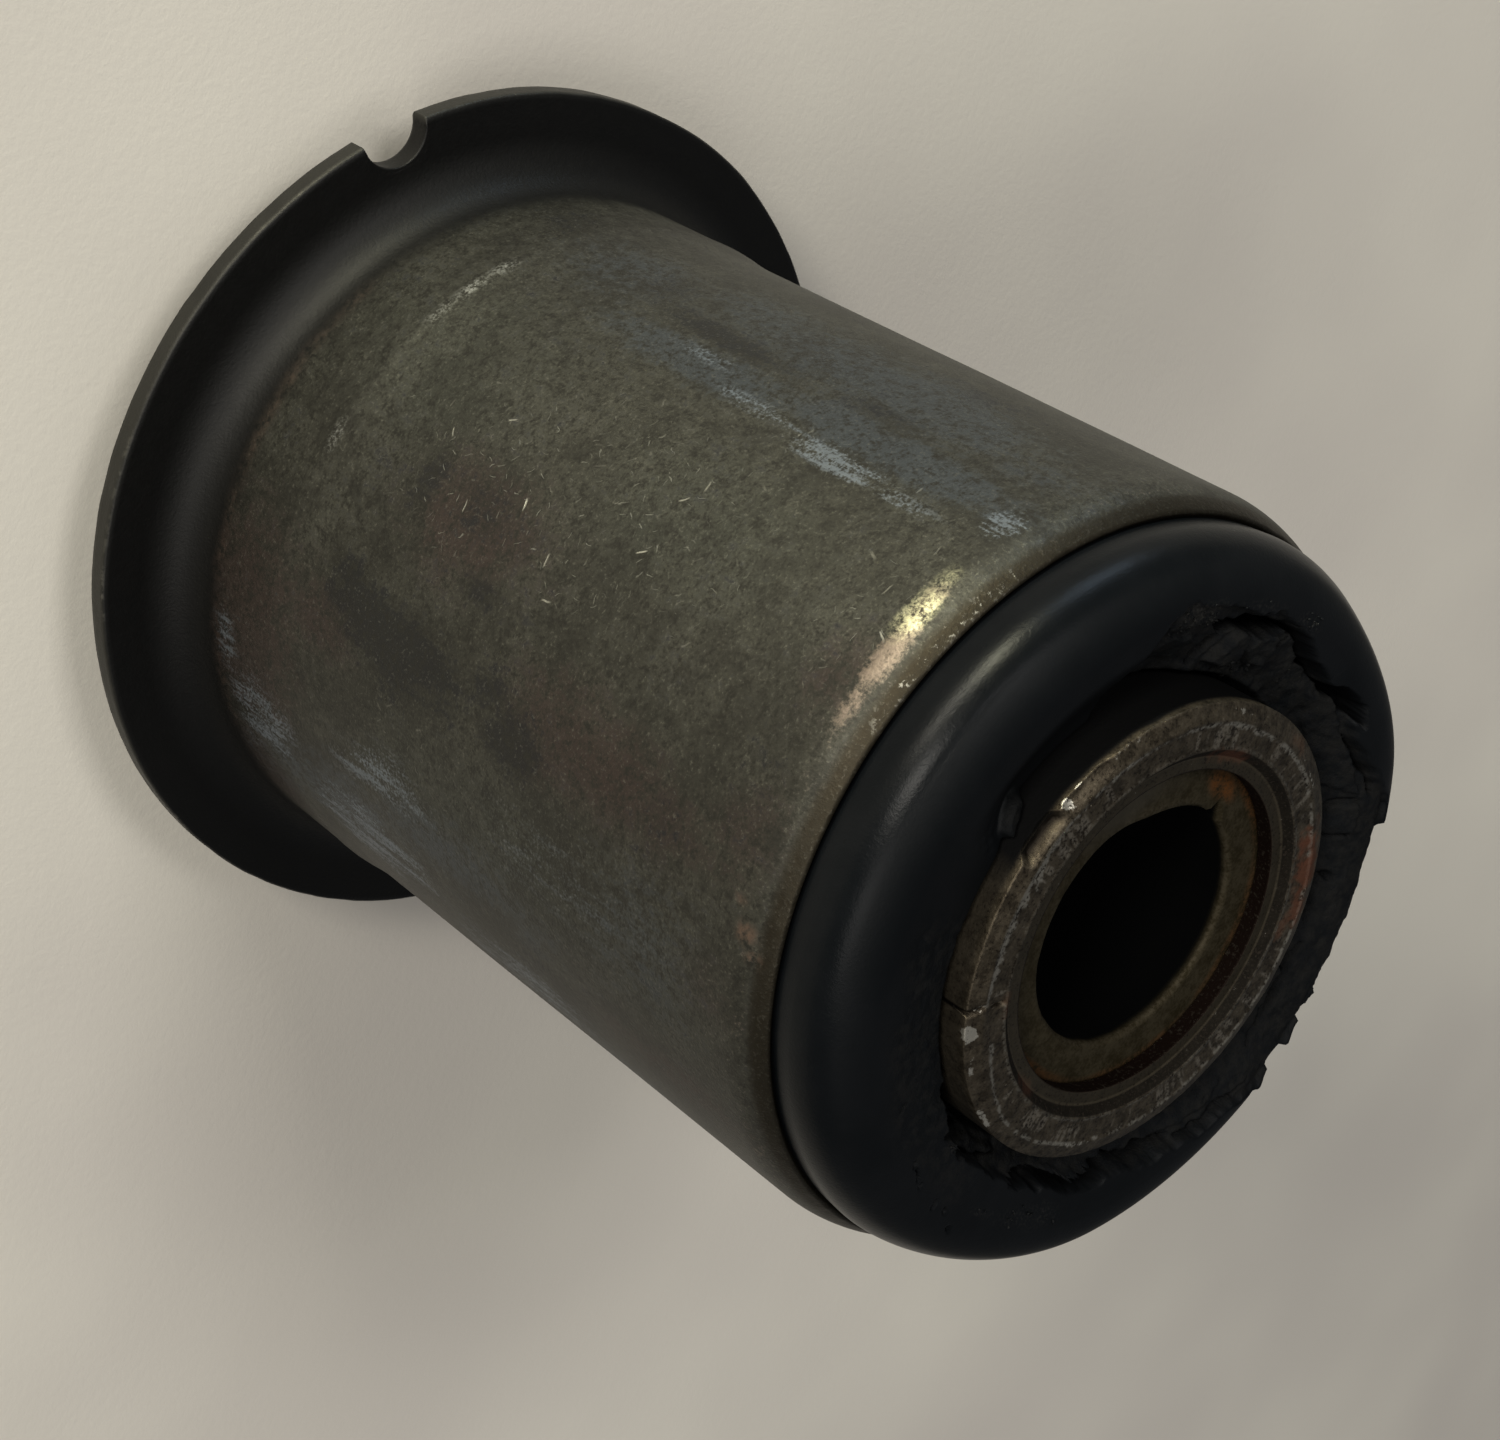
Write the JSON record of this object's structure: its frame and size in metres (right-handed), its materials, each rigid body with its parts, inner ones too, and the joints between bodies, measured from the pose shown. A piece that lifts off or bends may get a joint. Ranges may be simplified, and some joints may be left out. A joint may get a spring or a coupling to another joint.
{
  "type": "rubber metal bush",
  "caption": "Flanged suspension bush: a notched steel shell, torn black rubber bonded inside it, a toothed inner sleeve and a pressed-in bolt tube.",
  "frame": {"origin": "centre of the lower end face of the inner sleeve, on the bush axis, on the surface that the bush stands on", "axes": "+Z along the bush axis from the flange end to the open mouth; the notch in the flange points between -X and -Y"},
  "size_m": [0.0572, 0.0572, 0.0665],
  "materials": {
    "shell_steel": "dull phosphated drawn steel, scuffed",
    "black_rubber": "smooth moulded rubber, torn round the sleeve",
    "sleeve_steel": "worn steel with crushed teeth and rust",
    "tube_steel": "dull brown oxidised steel"
  },
  "bodies": {
    "root": {"outer_shell": "shell_steel", "rubber_body": "black_rubber", "inner_sleeve": "sleeve_steel", "bolt_tube": "tube_steel"}
  },
  "joints": []
}
